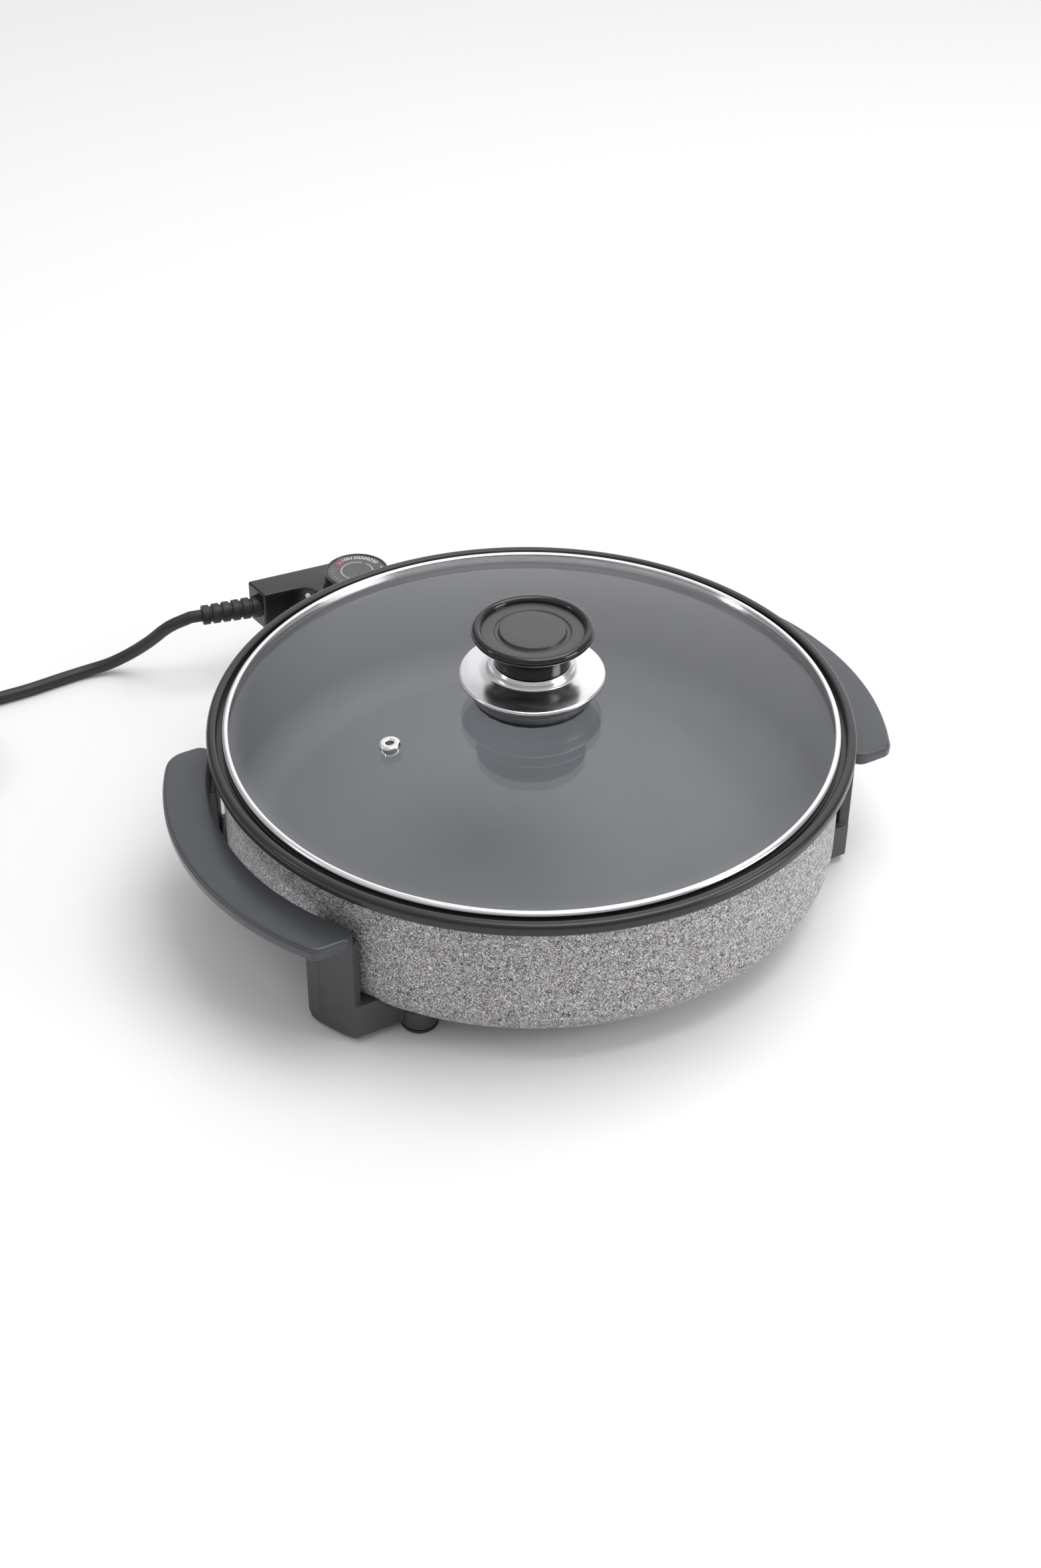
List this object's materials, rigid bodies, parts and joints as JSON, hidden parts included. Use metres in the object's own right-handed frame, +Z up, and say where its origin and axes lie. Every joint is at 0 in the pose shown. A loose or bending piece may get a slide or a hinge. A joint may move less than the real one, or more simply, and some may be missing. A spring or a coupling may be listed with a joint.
{
  "type": "electric pan",
  "caption": "Deep round electric pan with a domed glass lid, a knob, two curved side handles on legs, and a plug-in thermostat controller with a dial and a cord.",
  "frame": {"origin": "on the table under the middle of the object without its cord: midway between the outsides of the handles in X, and midway between the pan's front rim and the controller's back in Y", "axes": "+Z up, +X towards the right handle, +Y from the pan towards the plug-in controller"},
  "size_m": [0.5581, 0.4825, 0.1604],
  "materials": {
    "coated_pan": "grey hammered coating outside, smooth grey inside, black rim",
    "glass": "clear tempered glass",
    "steel": "bright stainless steel",
    "chrome": "polished chrome",
    "brass": "plain",
    "element_metal": "dull heat-stained steel",
    "handle_plastic": "satin phenolic",
    "black_plastic": "satin",
    "gloss_black": "glossy phenolic",
    "bakelite": "plain",
    "rubber": "matt",
    "lens": "clear lens"
  },
  "bodies": {
    "base": {"pan": "coated_pan", "heating_element": "element_metal", "socket_guard": "black_plastic", "probe_sleeve": "element_metal", "grip_left": "handle_plastic", "grip_right": "handle_plastic", "leg_front_left": "handle_plastic", "leg_front_right": "handle_plastic", "leg_rear_left": "handle_plastic", "leg_rear_right": "handle_plastic", "foot_front_left": "rubber", "foot_front_right": "rubber", "foot_rear_left": "rubber", "foot_rear_right": "rubber", "leg_screw_front_left": "steel", "leg_screw_front_right": "steel", "leg_screw_rear_left": "steel", "leg_screw_rear_right": "steel", "grip_screw_front_left": "steel", "grip_screw_front_right": "steel", "grip_screw_rear_left": "steel", "grip_screw_rear_right": "steel", "terminal_pin_left": "steel", "terminal_pin_right": "steel", "guard_screw_left": "steel", "guard_screw_right": "steel"},
    "lid": {"lid_glass": "glass", "lid_band": "steel", "vent_eyelet": "steel", "knob_gasket": "rubber", "knob_cup": "steel", "knob_skirt": "chrome", "knob": "gloss_black", "knob_washer": "steel", "knob_screw": "steel"},
    "controller": {"controller_upper_shell": "gloss_black", "controller_lower_shell": "gloss_black", "pilot_lamp": "lens", "thermostat_switch": "bakelite", "sensor_probe": "steel", "strain_relief": "rubber", "contact_sleeve_left": "brass", "contact_sleeve_right": "brass", "case_screw_left": "steel", "case_screw_right": "steel", "power_cord": "rubber", "cord_coil": "rubber", "plug_body": "rubber", "plug_pin_left": "steel", "plug_pin_right": "steel"},
    "dial": {"dial": "gloss_black", "dial_shaft": "steel"}
  },
  "joints": [
    {"name": "lid_lift", "type": "slide", "parent": "base", "child": "lid", "axis": [0, 0, 1], "range_m": [0, 0.15]},
    {"name": "controller_pull", "type": "slide", "parent": "base", "child": "controller", "axis": [0, 1, 0], "range_m": [0, 0.08]},
    {"name": "dial_turn", "type": "hinge", "parent": "controller", "child": "dial", "pos_m": [0, 0.17866, 0.07], "axis": [0, 0, 1], "range_deg": [-270, 0]}
  ]
}
